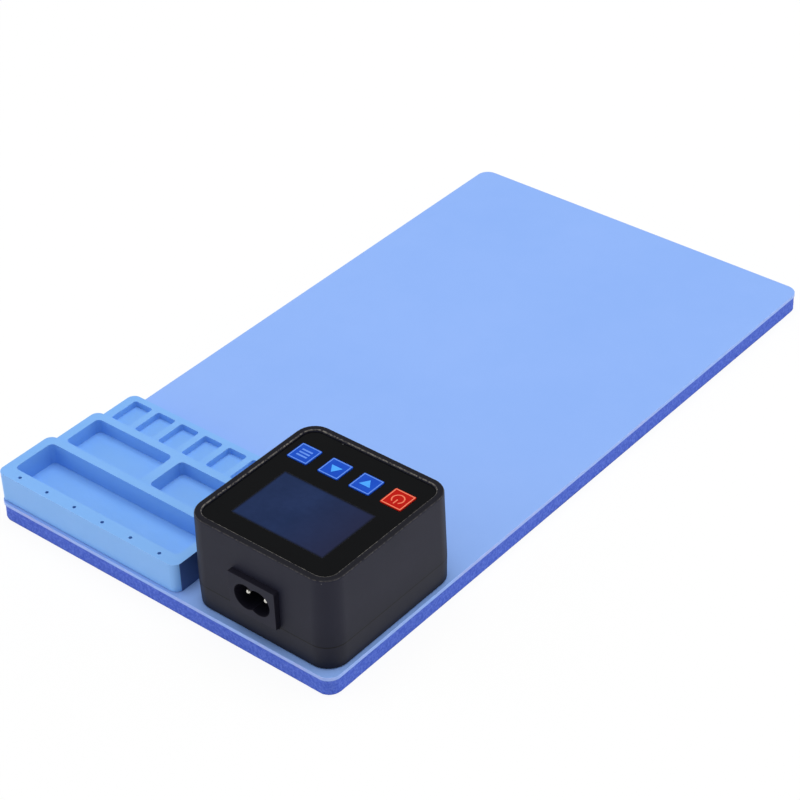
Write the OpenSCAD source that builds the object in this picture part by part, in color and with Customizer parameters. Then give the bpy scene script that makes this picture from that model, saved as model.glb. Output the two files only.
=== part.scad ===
// Heated work mat: a silicone heating mat on a foam base, with a stepped parts
// tray and a control box at its back edge. +Z is up, and the origin is at the
// middle of the underside. The user sits at -Y. Sizes are in millimetres.

/* [Mat] */
// Width of the mat, left to right
mat_w = 171; // [150:1:220]
// Length of the mat, front to back
mat_l = 310; // [290:1:380]
// Corner radius of the mat
mat_r = 5.5; // [3:0.5:12]
// Thickness of the foam base
foam_t = 7; // [4:0.5:12]
// Thickness of the silicone sheet under the heating foil
lower_sheet_t = 0.6; // [0.4:0.1:1.2]
// Thickness of the silicone sheet over the heating foil
top_sheet_t = 0.9; // [0.8:0.1:1.5]
// Thickness of the adhesive films under the tray and the box
glue_t = 0.2; // [0.1:0.05:0.4]

/* [Heating foil] */
// Thickness of the foil
foil_t = 0.2; // [0.1:0.05:0.3]
// Width of a foil track
track_w = 4; // [2:0.5:5]
// Number of cross runs, an even number
track_runs = 26; // [10:2:30]
// Distance from the front edge of the mat to the first run
foil_front_margin = 12; // [8:1:20]
// Distance from the side edges of the mat to the foil
foil_side_margin = 6.5; // [5:0.5:12]
// Length of the heated area, front to back
heated_l = 210; // [160:1:215]
// Gap between the runs and the return track beside them
track_gap = 3; // [2:0.5:5]

/* [Parts tray] */
// Width of the tray
tray_w = 95.2; // [80:0.1:98]
// Distance from the side of the mat to the tray
tray_side_gap = 0.3; // [0:0.1:2]
// Distance from the back edge of the mat to the tray
tray_back_gap = 1.3; // [0.5:0.1:4]
// Depth of the tall step, front to back
tier1_l = 29.1; // [24:0.1:34]
// Depth of the middle step, front to back
tier2_l = 25.1; // [20:0.1:32]
// Depth of the low step, front to back
tier3_l = 20.3; // [16:0.1:26]
// Height of the tall step over the mat
tier1_h = 13; // [11:0.1:18]
// Height of the middle step over the mat
tier2_h = 9.9; // [8:0.1:10.8]
// Height of the low step over the mat
tier3_h = 6.5; // [5.5:0.1:7.8]
// Floor thickness of the tray
tray_floor = 3.6; // [2:0.1:4.5]
// Wall thickness of the tray
tray_wall = 3.4; // [2:0.1:4.5]
// Wall thickness along the tray's sides
tray_side_wall = 4.1; // [3:0.1:5]
// Width of the rim that carries the row of holes
tray_back_rim = 5.8; // [4:0.1:8]
// Wall between the two middle compartments
tray_divider = 4.6; // [3:0.1:8]
// Outer corner radius of the tray
tray_r = 3.5; // [1:0.1:5]
// Corner radius of the large compartments
bin_r = 2.2; // [0.5:0.1:4]
// Number of small pockets in the low step
pocket_count = 7; // [5:1:8]
// Distance between neighbouring small pockets
pocket_pitch = 12.9; // [12:0.1:13.2]
// Width of a small pocket
pocket_w = 9.7; // [7:0.1:10.5]
// Corner radius of the small pockets
pocket_r = 1; // [0.3:0.1:2]
// Number of holes in the back rim
rim_hole_count = 6; // [3:1:6]
// Distance between neighbouring rim holes
rim_hole_pitch = 14.9; // [10:0.1:15.5]
// Diameter of a rim hole
rim_hole_d = 1.5; // [1:0.1:2.5]
// Depth of a rim hole
rim_hole_depth = 8; // [4:0.5:10]

/* [Control box] */
// Width of the box at its parting line
box_w = 67.8; // [64:0.1:72]
// Depth of the box at its parting line
box_d = 71.1; // [68:0.1:80]
// Corner radius of the box
box_r = 8; // [6:0.5:11]
// Distance from the side of the mat to the box
box_side_gap = 2.2; // [0:0.1:4]
// Distance from the back edge of the mat to the box
box_back_gap = 2.4; // [0.5:0.1:4]
// Height of the parting line over the mat
part_h = 10.4; // [9.5:0.1:12]
// Height of the rim over the mat
rim_h = 42.4; // [40:0.1:50]
// How far each side of the upper shell leans in at the top
upper_lean = 1.3; // [0.5:0.1:2]
// How far each side of the lower shell leans in at the bottom
lower_lean = 0.7; // [0.2:0.1:1.5]
// Wall thickness of both shells
shell_wall = 2; // [1.6:0.1:2.4]
// Floor thickness of the lower shell
shell_floor = 2; // [1.5:0.1:2.4]
// Thickness of the upper shell's deck, under the front panel
deck_t = 1.8; // [1.2:0.1:2.4]
// Height of the rounded edge round the rim
rim_edge_h = 2; // [1:0.1:3]
// Width of the rim at its crest
rim_crest_w = 0.4; // [0.3:0.1:0.8]
// How deep the front panel lies under the crest of the rim
panel_depth = 2.7; // [1.5:0.1:3.5]
// Height of the lip that locates the shells
lip_h = 1.6; // [1:0.1:2.5]
// Thickness of the locating lip
lip_t = 1; // [0.8:0.1:1.4]
// Diameter of a screw post
post_d = 6.8; // [6:0.1:7.4]
// Distance from the outer side of the box to a screw post
post_inset = 7.6; // [7:0.1:8.6]
// Diameter of a shell screw
shell_screw_d = 2.9; // [2.5:0.1:3.2]
// Length of a shell screw under its head
shell_screw_l = 14; // [12:0.5:20]
// Diameter of a shell screw's head
shell_screw_head_d = 5.2; // [4.5:0.1:5.6]
// Height of a shell screw's head
shell_screw_head_h = 2; // [1.6:0.1:2.4]

/* [Front panel and display] */
// Thickness of the front panel
panel_t = 1.2; // [0.8:0.1:1.6]
// Width of the display window
window_w = 42.7; // [38:0.1:44]
// Depth of the display window, front to back
window_d = 28.6; // [24:0.1:29.5]
// Distance from the middle of the box to the middle of the window
window_offset = 8; // [7.5:0.1:8.5]
// Corner radius of the display window
window_r = 0.8; // [0.3:0.1:2]
// Height of the liquid crystal cell
lcd_t = 2; // [1.6:0.1:2.4]
// Height of the display frame
lcd_frame_h = 3.8; // [3:0.1:5]

/* [Keys] */
// Side of a key
key_w = 9.6; // [8:0.1:10.4]
// Corner radius of a key
key_r = 0.6; // [0.4:0.1:1.5]
// Distance between neighbouring keys
key_pitch = 14.9; // [13:0.1:15.2]
// Distance from the middle of the box to the row of keys
key_offset = 18.2; // [17.8:0.1:18.4]
// How far a key stands over the panel
key_proud = 0.25; // [0.2:0.05:0.3]
// How far a key travels
key_travel = 0.2; // [0.15:0.05:0.2]
// Width of the flange that keeps a key in place
key_flange = 1; // [0.8:0.1:1.1]
// Height of the key's flange
key_flange_h = 0.8; // [0.6:0.1:1]
// Side of a tact switch
tact_w = 6; // [5:0.1:6.5]
// Diameter of a switch plunger
plunger_d = 3.4; // [2.5:0.1:3.8]
// How deep a plunger sits in its switch
plunger_sink = 0.6; // [0.5:0.05:0.8]

/* [Circuit boards] */
// Thickness of both circuit boards
board_t = 1.6; // [1:0.1:2]
// Gap between a board's edge and the shell's inner wall
board_edge_gap = 2.4; // [1.5:0.1:4]
// Height of the standoffs under the power board
standoff_h = 4; // [3:0.5:6]
// Diameter of the board standoffs
standoff_d = 5; // [4:0.1:5.4]
// Diameter of a board screw
board_screw_d = 2.4; // [2:0.1:2.6]
// Length of a board screw under its head
board_screw_l = 4.6; // [4:0.1:4.8]
// Diameter of a board screw's head
board_screw_head_d = 4.4; // [3.8:0.1:4.8]
// Height of a board screw's head
board_screw_head_h = 1.6; // [1.2:0.1:2]
// Transformer size: width, depth and height
transformer_size = [20, 15, 15]; // [10:0.5:22]
// Relay size: width, depth and height
relay_size = [15.4, 19, 15]; // [10:0.5:20]
// Diameter of the smoothing capacitor
capacitor_d = 8; // [6:0.5:8.5]
// Height of the smoothing capacitor
capacitor_h = 14; // [8:0.5:18]
// Diameter of the glass fuse
fuse_d = 5.2; // [4:0.1:5.6]
// Length of the glass fuse
fuse_l = 20; // [16:0.5:21]
// Diameter of the thermal cut-out
cutout_d = 4; // [3:0.1:5]
// Length of the thermal cut-out
cutout_l = 11; // [8:0.5:12]
// Width of the ribbon cable
ribbon_w = 9; // [6:0.5:9.5]
// Thickness of the ribbon cable
ribbon_t = 0.9; // [0.7:0.1:1.2]
// Diameter of the heater leads and the inlet wires
lead_d = 1.8; // [1.4:0.1:2]

/* [Mains inlet] */
// Width of the inlet's flange
flange_w = 22.1; // [21:0.1:24]
// Height of the inlet's flange
flange_h = 16.6; // [15:0.1:17]
// How far the flange stands out from the box
flange_proud = 2; // [1:0.1:2.2]
// Width of the inlet's recess
recess_w = 16.9; // [15.8:0.1:17.2]
// Height of the inlet's recess
recess_h = 10.8; // [9.4:0.1:11]
// Height of the recess at its waist
recess_waist = 4.8; // [4.4:0.1:6]
// Depth of the recess
recess_depth = 13; // [11:0.5:14]
// Diameter of a contact pin
pin_d = 2.4; // [2.2:0.05:2.6]
// Distance between the two contact pins
pin_pitch = 8.6; // [8.4:0.1:8.8]
// How deep the pin tips lie behind the flange's face
pin_sink = 2.2; // [1.5:0.1:4]
// Diameter of a pin's neck and solder tail
pin_neck_d = 1.9; // [1.5:0.1:2]
// Length of the solder tails behind the inlet
pin_tail = 3.5; // [2:0.1:4]
// Wall of the inlet's body round its recess
inlet_wall = 1.2; // [1:0.1:1.4]

/* [Clearances] */
// Gap round a key in the panel
key_gap = 0.3; // [0.3:0.05:0.4]
// Gap between pieces that are fitted together and stay put
fit_gap = 0.15; // [0.1:0.05:0.2]
// Gap between a screw and the hole it is turned into
screw_gap = 0.05; // [0.02:0.01:0.1]

/* [Hidden] */
$fn = 48;
cut = 1;

// Levels of the mat's layers
foil_z = foam_t + lower_sheet_t;
mat_top = foil_z + top_sheet_t;
glue_top = mat_top + glue_t;

// Foil tracks
foil_x0 = -mat_w / 2 + foil_side_margin;
foil_x1 = mat_w / 2 - foil_side_margin;
run_x0 = foil_x0 + track_w + track_gap;
run_y0 = -mat_l / 2 + foil_front_margin;
run_pitch = (heated_l - track_w) / (track_runs - 1);

// Parts tray
tray_x1 = mat_w / 2 - tray_side_gap;
tray_x0 = tray_x1 - tray_w;
tray_y1 = mat_l / 2 - tray_back_gap;
tier1_y = tray_y1 - tier1_l;
tier2_y = tier1_y - tier2_l;
tier3_y = tier2_y - tier3_l;
tray_mid = (tray_x0 + tray_x1) / 2;
bin_floor = glue_top + tray_floor - glue_t;
bin_w = tray_w - 2 * tray_side_wall;
half_bin_w = (bin_w - tray_divider) / 2;

// Control box
box_x = -mat_w / 2 + box_side_gap + box_w / 2;
box_y = mat_l / 2 - box_back_gap - box_d / 2;
part_z = mat_top + part_h;
rim_z = mat_top + rim_h;
panel_top = rim_z - panel_depth;
deck_top = panel_top - panel_t;
deck_under = deck_top - deck_t;
floor_top = glue_top + shell_floor;
rim_edge_in = 0.8;
crest_in = upper_lean + rim_edge_in;
recess_in = crest_in + rim_crest_w;
post_x = box_w / 2 - post_inset;
post_y = box_d / 2 - post_inset + 0.5;
post_places = [for (sx = [-1, 1], sy = [-1, 1]) [sx * post_x, sy * post_y]];
screw_seat_z = glue_top + shell_screw_head_h + 0.6;

// Front panel, display and keys
panel_w = box_w - 2 * recess_in - 2 * fit_gap;
panel_d = box_d - 2 * recess_in - 2 * fit_gap;
panel_r = box_r - recess_in - fit_gap;
lcd_margin = 0.8;
lcd_frame_margin = 1.2;
lcd_top = deck_top - 0.05;
lcd_under = lcd_top - lcd_t;
board2_top = lcd_under - lcd_frame_h;
board2_under = board2_top - board_t;
key_x = [for (i = [0 : 3]) (1.5 - i) * key_pitch];
key_top = panel_top + key_proud;
key_flange_top = deck_under - 0.1;
key_under = key_flange_top - key_flange_h;
tact_top = board2_top + (key_under - board2_top) * 0.6;

// Circuit boards
board1_under = floor_top + standoff_h;
board1_top = board1_under + board_t;
board_w = box_w - 2 * shell_wall - 2 * upper_lean - 2 * board_edge_gap;
board_d = box_d - 2 * shell_wall - 2 * upper_lean - 2 * board_edge_gap;
notch_r = post_d / 2 + 1;
board2_hole_x = board_w / 2 - standoff_d / 2 + 0.4;
board2_holes = [for (sx = [-1, 1], y = [-4, 17]) [sx * board2_hole_x, y]];
board1_holes = [for (sx = [-1, 1], y = [-16, 16]) [sx * (board_w / 2 - standoff_d / 2), y]];
lead_y = box_y - 23.5;
lead_x = [box_x - 4.5, box_x + 3.5];
sensor_x = box_x + 19;
sensor_pins = [sensor_x - 3.5, sensor_x - 1];
sensor_len = 5;
ribbon_at = [-board_w / 2 + 6, 8];
transformer_at = [-14, -6];
relay_at = [12, -5];
capacitor_at = [22, 11];
fuse_at = [-2, 13.5];
cutout_at = [-14, -19];

// Mains inlet
function near_wall_y(z) = box_y + box_d / 2 - upper_lean * (z - part_z) / (rim_z - part_z);
flange_z0 = part_z + 0.05;
inlet_z = flange_z0 + flange_h / 2;
seat_y = near_wall_y(flange_z0 + flange_h);
flange_face_y = box_y + box_d / 2 + flange_proud;
body_w = recess_w + 2 * inlet_wall;
body_h = recess_h + 2 * inlet_wall;
recess_end_y = flange_face_y - recess_depth;
body_end_y = recess_end_y - 2;

// A flat rectangle with true round corners, centred on the origin
module round_rect(w, d, r) {
    square([w - 2 * r, d], center = true);
    square([w, d - 2 * r], center = true);
    for (sx = [-1, 1], sy = [-1, 1])
        translate([sx * (w / 2 - r), sy * (d / 2 - r)]) circle(r);
}

// A slab of the mat between two levels
module mat_slab(z0, z1) {
    translate([0, 0, z0]) linear_extrude(z1 - z0) round_rect(mat_w, mat_l, mat_r);
}

module at_box() {
    translate([box_x, box_y, 0]) children();
}

// A tapering block of the box's outline: each level is [z, inset]
module box_loft(levels) {
    slice = 0.01;
    hull() for (i = [0 : len(levels) - 1])
        translate([0, 0, levels[i][0] - (i == len(levels) - 1 ? slice : 0)])
            linear_extrude(slice)
                round_rect(box_w - 2 * levels[i][1], box_d - 2 * levels[i][1],
                           max(box_r - levels[i][1], 0.5), $fn = 32);
}

// A rectangular ring or plate of the box's outline
module box_plate(z0, z1, inset) {
    translate([0, 0, z0])
        linear_extrude(z1 - z0)
            round_rect(box_w - 2 * inset, box_d - 2 * inset, max(box_r - inset, 0.5));
}

// A pan-head screw that points up from z = 0, with its head under it and a cross slot
module pan_screw(d, l, head_d, head_h) {
    difference() {
        union() {
            cylinder(h = l, d = d);
            rotate_extrude() intersection() {
                square([head_d, head_h * 2], center = true);
                translate([0, -head_h]) square([head_d / 2, head_h]);
                translate([0, head_d * 0.62 - head_h]) circle(head_d * 0.62);
            }
        }
        for (a = [0, 90]) rotate(a)
            translate([-head_d * 0.3, -head_d * 0.06, -head_h - cut])
                cube([head_d * 0.6, head_d * 0.12, head_h * 0.5 + cut]);
    }
}

module foam_base() {
    color([0.32, 0.43, 0.76]) mat_slab(0, foam_t);
}

module lower_sheet() {
    color([0.55, 0.66, 0.92]) mat_slab(foam_t, foil_z);
}

// The flat outline of the foil: cross runs, their links, the return track and two pads
module foil_outline(grow = 0) {
    run_end = run_y0 + heated_l - track_w;
    pad_y = [lead_y - 3.5, lead_y + 3.5];
    pad_l = 5;
    offset_w = track_w + 2 * grow;
    for (i = [0 : track_runs - 1])
        translate([run_x0 - grow, run_y0 + i * run_pitch - grow])
            square([foil_x1 - run_x0 + 2 * grow, offset_w]);
    for (i = [0 : track_runs - 2])
        translate([(i % 2 == 0 ? foil_x1 - track_w : run_x0) - grow, run_y0 + i * run_pitch - grow])
            square([offset_w, run_pitch + offset_w]);
    translate([foil_x0 - grow, run_y0 - grow])
        square([offset_w, pad_y[1] - run_y0 + pad_l / 2 + 2 * grow]);
    translate([foil_x0 - grow, run_y0 - grow])
        square([run_x0 - foil_x0 + offset_w, offset_w]);
    translate([run_x0 - grow, run_end - grow])
        square([offset_w, pad_y[0] - run_end + pad_l / 2 + 2 * grow]);
    translate([run_x0 - grow, pad_y[0] - pad_l / 2 - grow])
        square([lead_x[0] - run_x0 + pad_l / 2 + 2 * grow, pad_l + 2 * grow]);
    translate([foil_x0 - grow, pad_y[1] - pad_l / 2 - grow])
        square([lead_x[1] - foil_x0 + pad_l / 2 + 2 * grow, pad_l + 2 * grow]);
}

module heating_foil() {
    color([0.72, 0.45, 0.2]) translate([0, 0, foil_z]) linear_extrude(foil_t) foil_outline();
}

// The outline of the sensor bead and its two flat tails, seen from above
module sensor_outline(grow = 0) {
    bead_y = box_y - box_d / 2 - 8;
    translate([sensor_x - sensor_len / 2 - grow, bead_y - 1.5 - grow])
        square([sensor_len + 2 * grow, 3 + 2 * grow]);
    for (x = sensor_pins)
        translate([x - 0.6 - grow, bead_y - grow])
            square([1.2 + 2 * grow, lead_y - bead_y + 1 + 2 * grow]);
}

module top_sheet() {
    color([0.6, 0.73, 0.96]) difference() {
        mat_slab(foil_z, mat_top);
        translate([0, 0, foil_z - cut]) linear_extrude(foil_t + cut) foil_outline(0.02);
        translate([0, 0, foil_z - cut]) linear_extrude(0.5 + cut) sensor_outline(0.05);
        for (i = [0, 1])
            translate([lead_x[i], lead_y + (i == 0 ? -3.5 : 3.5), foil_z])
                cylinder(h = top_sheet_t + cut, d = lead_d + 0.2);
        for (x = sensor_pins)
            translate([x, lead_y, foil_z]) cylinder(h = top_sheet_t + cut, d = 1);
    }
}

module temperature_sensor() {
    color([0.15, 0.15, 0.15]) {
        translate([0, 0, foil_z]) linear_extrude(0.5) sensor_outline();
        for (x = sensor_pins)
            translate([x, lead_y, foil_z + 0.1])
                cylinder(h = board1_under - foil_z - 0.1, d = 0.8);
    }
}

module heater_leads() {
    color([0.75, 0.1, 0.08]) for (i = [0, 1])
        translate([lead_x[i], lead_y + (i == 0 ? -3.5 : 3.5), foil_z + foil_t])
            cylinder(h = board1_under - foil_z - foil_t, d = lead_d);
}

// A block of the tray from the back edge to y0, as tall as h over the mat
module tray_block(y0, h, z0 = glue_top) {
    translate([tray_mid, (y0 + tray_y1) / 2, z0])
        linear_extrude(mat_top + h - z0) round_rect(tray_w, tray_y1 - y0, tray_r);
}

// A compartment between y0 and y1, w wide and centred on x
module tray_bin(x, w, y0, y1, r, top) {
    translate([x, (y0 + y1) / 2, bin_floor])
        linear_extrude(mat_top + top + cut - bin_floor) round_rect(w, y1 - y0, r);
}

module tray_adhesive() {
    color([0.85, 0.85, 0.8]) translate([tray_mid, (tier3_y + tray_y1) / 2, mat_top])
        linear_extrude(glue_t) round_rect(tray_w - 1, tray_y1 - tier3_y - 1, tray_r);
}

module parts_tray() {
    color([0.5, 0.7, 0.97]) difference() {
        union() {
            tray_block(tier1_y, tier1_h);
            tray_block(tier2_y, tier2_h);
            tray_block(tier3_y, tier3_h);
        }
        tray_bin(tray_mid, bin_w, tier1_y + tray_wall, tray_y1 - tray_back_rim, bin_r, tier1_h);
        for (s = [-1, 1])
            tray_bin(tray_mid + s * (half_bin_w + tray_divider) / 2, half_bin_w,
                     tier2_y + tray_wall, tier1_y - tray_wall, bin_r, tier2_h);
        for (i = [0 : pocket_count - 1])
            tray_bin(tray_mid + (i - (pocket_count - 1) / 2) * pocket_pitch, pocket_w,
                     tier3_y + tray_wall - 0.5, tier2_y - tray_wall, pocket_r, tier3_h);
        for (i = [0 : rim_hole_count - 1])
            translate([tray_mid + (i - (rim_hole_count - 1) / 2) * rim_hole_pitch,
                       tray_y1 - tray_back_rim / 2 + 0.2, mat_top + tier1_h - rim_hole_depth])
                cylinder(h = rim_hole_depth + cut, d = rim_hole_d, $fn = 24);
    }
}

// Where the leads pass through the box's floor and the film under it
module lead_slot(z0, z1) {
    translate([lead_x[0] - 3, lead_y - 6.5, z0]) cube([sensor_x + 2.5 - lead_x[0], 13, z1 - z0]);
}

module box_adhesive() {
    color([0.85, 0.85, 0.8]) difference() {
        at_box() box_plate(mat_top, glue_top, lower_lean + 2);
        lead_slot(mat_top - cut, glue_top + cut);
    }
}

// The space that the inlet's body takes in the shells, down to the parting line
module inlet_notch(gap, y0) {
    translate([box_x - body_w / 2 - gap, y0, part_z - cut])
        cube([body_w + 2 * gap, flange_face_y - y0, inlet_z + body_h / 2 + gap - part_z + cut]);
}

module lower_shell() {
    bottom_edge = 1;
    color([0.2, 0.2, 0.24]) difference() {
        union() {
            at_box() difference() {
                box_loft([[glue_top, lower_lean + 0.6], [glue_top + 0.4, lower_lean + 0.15],
                          [glue_top + bottom_edge, lower_lean], [part_z, 0]]);
                box_loft([[floor_top, shell_wall + lower_lean], [part_z + cut, shell_wall]]);
            }
            // the lip that locates the upper shell
            at_box() difference() {
                box_plate(part_z - 2, part_z + lip_h, shell_wall + fit_gap);
                box_plate(part_z - 2 - cut, part_z + lip_h + cut, shell_wall + fit_gap + lip_t);
            }
            at_box() difference() {
                box_plate(part_z - 2, part_z - 0.5, shell_wall - 0.5);
                box_plate(part_z - 2 - cut, part_z, shell_wall + fit_gap + 0.3);
            }
            at_box() for (p = post_places)
                translate([p[0], p[1], glue_top + 0.5]) cylinder(h = part_z - glue_top - 0.5, d = post_d);
            at_box() for (p = board1_holes)
                translate([p[0], p[1], glue_top + 1]) cylinder(h = board1_under - glue_top - 1, d = standoff_d);
        }
        at_box() for (p = post_places) {
            translate([p[0], p[1], glue_top - cut])
                cylinder(h = part_z - glue_top + 2 * cut, d = shell_screw_d + 0.3);
            translate([p[0], p[1], glue_top - cut])
                cylinder(h = screw_seat_z - glue_top + cut, d = shell_screw_head_d + 0.4);
        }
        at_box() for (p = board1_holes)
            translate([p[0], p[1], floor_top]) cylinder(h = standoff_h + cut, d = board_screw_d + 2 * screw_gap);
        lead_slot(glue_top - cut, floor_top + cut);
        translate([0, 0, 0.05]) inlet_notch(1.2, box_y);
    }
}

module upper_shell() {
    inner_top = deck_under;
    inner_in = upper_lean * (inner_top - part_z) / (rim_z - part_z) + shell_wall;
    color([0.21, 0.21, 0.25]) difference() {
        union() {
            at_box() difference() {
                box_loft([[part_z, 0], [rim_z - rim_edge_h, upper_lean],
                          [rim_z - rim_edge_h * 0.55, upper_lean + rim_edge_in * 0.2],
                          [rim_z - rim_edge_h * 0.2, upper_lean + rim_edge_in * 0.6],
                          [rim_z, crest_in]]);
                box_loft([[part_z - cut, shell_wall], [inner_top, inner_in]]);
                box_plate(deck_top, rim_z + cut, recess_in);
            }
            at_box() for (p = post_places)
                translate([p[0], p[1], part_z]) cylinder(h = deck_under - part_z + 0.5, d = post_d);
            at_box() for (p = board2_holes)
                translate([p[0], p[1], board2_top]) cylinder(h = deck_under - board2_top + 0.5, d = standoff_d);
        }
        at_box() for (p = post_places)
            translate([p[0], p[1], part_z - cut])
                cylinder(h = screw_seat_z + shell_screw_l - part_z + 1 + cut, d = shell_screw_d + 2 * screw_gap);
        at_box() for (p = board2_holes)
            translate([p[0], p[1], board2_top - cut])
                cylinder(h = board_screw_l - board_t + 0.4 + cut, d = board_screw_d + 2 * screw_gap);
        // room for the locating lip at the posts
        at_box() difference() {
            box_plate(part_z - cut, part_z + lip_h + fit_gap, shell_wall);
            box_plate(part_z - 2 * cut, part_z + lip_h + 2 * cut, shell_wall + 2 * fit_gap + lip_t);
        }
        // the openings for the display and the keys
        at_box() translate([0, window_offset, deck_under - cut])
            linear_extrude(deck_t + 2 * cut)
                square([window_w + 2 * lcd_margin + 2 * fit_gap, window_d + 2 * lcd_margin + 2 * fit_gap],
                       center = true);
        at_box() for (x = key_x)
            translate([x, -key_offset, deck_under - cut])
                linear_extrude(deck_t + 2 * cut)
                    round_rect(key_w + 2 * key_gap, key_w + 2 * key_gap, key_r + key_gap);
        // the notch for the inlet's body and the flat seat for its flange
        inlet_notch(fit_gap, box_y + box_d / 2 - shell_wall - upper_lean - 3);
        translate([box_x - flange_w / 2 - fit_gap, seat_y, flange_z0 - cut])
            cube([flange_w + 2 * fit_gap, 5, flange_h + fit_gap + cut]);
    }
}

module shell_screws() {
    color([0.75, 0.75, 0.77]) at_box() for (p = post_places)
        translate([p[0], p[1], screw_seat_z])
            pan_screw(shell_screw_d, shell_screw_l, shell_screw_head_d, shell_screw_head_h);
}

module front_panel() {
    color([0.06, 0.06, 0.07]) at_box() difference() {
        translate([0, 0, deck_top]) linear_extrude(panel_t) round_rect(panel_w, panel_d, panel_r);
        translate([0, window_offset, deck_top - cut])
            linear_extrude(panel_t + 2 * cut) round_rect(window_w, window_d, window_r);
        for (x = key_x)
            translate([x, -key_offset, deck_top - cut])
                linear_extrude(panel_t + 2 * cut)
                    round_rect(key_w + 2 * key_gap, key_w + 2 * key_gap, key_r + key_gap);
    }
}

module display_window() {
    color([0.13, 0.19, 0.34]) at_box() translate([0, window_offset, deck_top])
        linear_extrude(panel_t)
            round_rect(window_w - 0.1, window_d - 0.1, window_r - 0.05);
}

module lcd_cell() {
    color([0.16, 0.22, 0.4]) at_box() translate([0, window_offset, lcd_under])
        linear_extrude(lcd_t)
            square([window_w + 2 * lcd_margin, window_d + 2 * lcd_margin], center = true);
}

module lcd_frame() {
    frame_w = window_w + 2 * lcd_margin + 2 * lcd_frame_margin;
    frame_d = window_d + 2 * lcd_margin + 2 * lcd_frame_margin;
    color([0.85, 0.85, 0.82]) at_box() translate([0, window_offset, board2_top]) {
        linear_extrude(lcd_frame_h) square([frame_w, frame_d], center = true);
    }
}

// A circuit board with its corners cut away round the screw posts
module board(z0, holes) {
    difference() {
        translate([0, 0, z0]) linear_extrude(board_t) square([board_w, board_d], center = true);
        for (p = post_places) translate([p[0], p[1], z0 - cut]) cylinder(h = board_t + 2 * cut, r = notch_r);
        for (p = post_places)
            translate([p[0] > 0 ? p[0] : p[0] - 20, p[1] > 0 ? p[1] : p[1] - 20, z0 - cut])
                cube([20, 20, board_t + 2 * cut]);
        for (p = holes)
            translate([p[0], p[1], z0 - cut]) cylinder(h = board_t + 2 * cut, d = board_screw_d + 0.3);
    }
}

module display_board() {
    color([0.05, 0.35, 0.2]) at_box() board(board2_under, board2_holes);
}

module display_board_screws() {
    color([0.75, 0.75, 0.77]) at_box() for (p = board2_holes)
        translate([p[0], p[1], board2_under])
            pan_screw(board_screw_d, board_screw_l, board_screw_head_d, board_screw_head_h);
}

module tact_switches() {
    color([0.1, 0.1, 0.1]) at_box() for (x = key_x) difference() {
        translate([x - tact_w / 2, -key_offset - tact_w / 2, board2_top])
            cube([tact_w, tact_w, tact_top - board2_top]);
        translate([x, -key_offset, tact_top - plunger_sink - key_travel - 0.15])
            cylinder(h = 5, d = plunger_d + 2 * key_gap);
    }
}

// One key: a square cap with a flange under the deck
module key_cap(i) {
    at_box() translate([key_x[i], -key_offset, 0]) {
        translate([0, 0, key_under])
            linear_extrude(key_flange_h)
                square(key_w + 2 * key_gap + 2 * key_flange - 0.6, center = true);
        translate([0, 0, key_flange_top - 0.1])
            linear_extrude(key_top - key_flange_top + 0.1) round_rect(key_w, key_w, key_r);
    }
}

// The plunger under one key, which moves with it
module plunger(i) {
    at_box() translate([key_x[i], -key_offset, tact_top - plunger_sink])
        cylinder(h = key_under - tact_top + plunger_sink, d = plunger_d);
}

module mode_key() {
    color([0.13, 0.3, 0.78]) key_cap(0);
}

module down_key() {
    color([0.13, 0.3, 0.78]) key_cap(1);
}

module up_key() {
    color([0.13, 0.3, 0.78]) key_cap(2);
}

module power_key() {
    color([0.78, 0.1, 0.03]) key_cap(3);
}

module mode_plunger() {
    color([0.2, 0.2, 0.2]) plunger(0);
}

module down_plunger() {
    color([0.2, 0.2, 0.2]) plunger(1);
}

module up_plunger() {
    color([0.2, 0.2, 0.2]) plunger(2);
}

module power_plunger() {
    color([0.2, 0.2, 0.2]) plunger(3);
}

// The figure-of-eight recess, seen from its open end
module recess_outline() {
    lobe = recess_h / 2;
    for (s = [-1, 1]) translate([s * (recess_w / 2 - lobe), 0]) circle(lobe);
    square([recess_w - 2 * lobe, recess_waist], center = true);
}

module inlet_housing() {
    clip = 0.8;
    color([0.2, 0.2, 0.23]) difference() {
        union() {
            translate([box_x - flange_w / 2, seat_y, flange_z0])
                cube([flange_w, flange_face_y - seat_y, flange_h]);
            translate([box_x - body_w / 2, body_end_y, inlet_z - body_h / 2])
                cube([body_w, seat_y - body_end_y + cut, body_h]);
            // the two snap hooks behind the wall
            for (s = [-1, 1])
                translate([box_x + s * body_w / 2, seat_y - shell_wall - 0.4, inlet_z - 2])
                    linear_extrude(4)
                        polygon([[-s * cut, 0], [s * clip, 0], [0, -5], [-s * cut, -5]]);
        }
        translate([box_x, flange_face_y + cut, inlet_z])
            rotate([90, 0, 0]) linear_extrude(recess_depth + cut) recess_outline();
        for (s = [-1, 1])
            translate([box_x + s * pin_pitch / 2, body_end_y - cut, inlet_z])
                rotate([-90, 0, 0]) cylinder(h = 5, d = pin_neck_d + 2 * screw_gap);
    }
}

// Each pin stands on the floor of the recess, and its neck goes through to the solder tail
module inlet_pins() {
    straight = recess_depth - pin_sink - pin_d / 2;
    color([0.8, 0.8, 0.78]) for (s = [-1, 1])
        translate([box_x + s * pin_pitch / 2, recess_end_y, inlet_z]) rotate([-90, 0, 0]) {
            cylinder(h = straight, d = pin_d);
            translate([0, 0, straight]) sphere(d = pin_d);
            translate([0, 0, body_end_y - pin_tail - recess_end_y])
                cylinder(h = recess_end_y - body_end_y + pin_tail + pin_d / 2, d = pin_neck_d);
        }
}

module inlet_wires() {
    color([0.45, 0.25, 0.15]) for (s = [-1, 1])
        translate([box_x + s * pin_pitch / 2, body_end_y - pin_tail / 2, board1_top])
            cylinder(h = inlet_z - pin_neck_d / 2 - board1_top, d = lead_d);
}

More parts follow.
